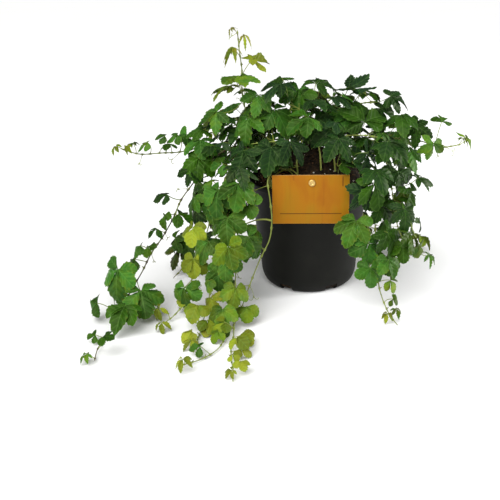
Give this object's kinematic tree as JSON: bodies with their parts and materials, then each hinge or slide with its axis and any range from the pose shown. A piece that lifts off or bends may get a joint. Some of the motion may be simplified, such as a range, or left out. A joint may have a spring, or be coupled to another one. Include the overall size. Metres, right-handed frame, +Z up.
{
  "type": "potted trailing plant",
  "caption": "Trailing vine with small palmate leaves that spill over a round tapered nursery pot with mounded soil, and a plain card held at the rim by a stud on a stake.",
  "frame": {"origin": "centre of the pot's flat base", "axes": "+Z up, +X to the right as seen from the front, and the card faces the front at -Y"},
  "size_m": [0.4272, 0.4323, 0.3017],
  "materials": {
    "black_plastic": "matte",
    "peat": "crumbly, moist",
    "wood_look_card": "satin, golden-brown wood look",
    "pale_gold_plastic": "shiny pale gold",
    "ivy": "soft sheen, green leaf"
  },
  "bodies": {
    "root": {"pot": "black_plastic", "soil": "peat", "label_card": "wood_look_card", "label_stake": "pale_gold_plastic", "stem_tall": "ivy", "shoot_left": "ivy", "shoot_right": "ivy", "trail_far_left": "ivy", "trail_left_outer": "ivy", "trail_left_front": "ivy", "trail_left_inner": "ivy", "trail_beside_card": "ivy", "trail_behind_left": "ivy", "trail_right_front": "ivy", "trail_right": "ivy", "trail_back_left": "ivy", "trail_back_right": "ivy", "trail_right_back": "ivy", "canopy_right": "ivy", "canopy_middle": "ivy", "canopy_front_right": "ivy", "canopy_front_left": "ivy", "canopy_left_back": "ivy", "canopy_back": "ivy"}
  },
  "joints": []
}
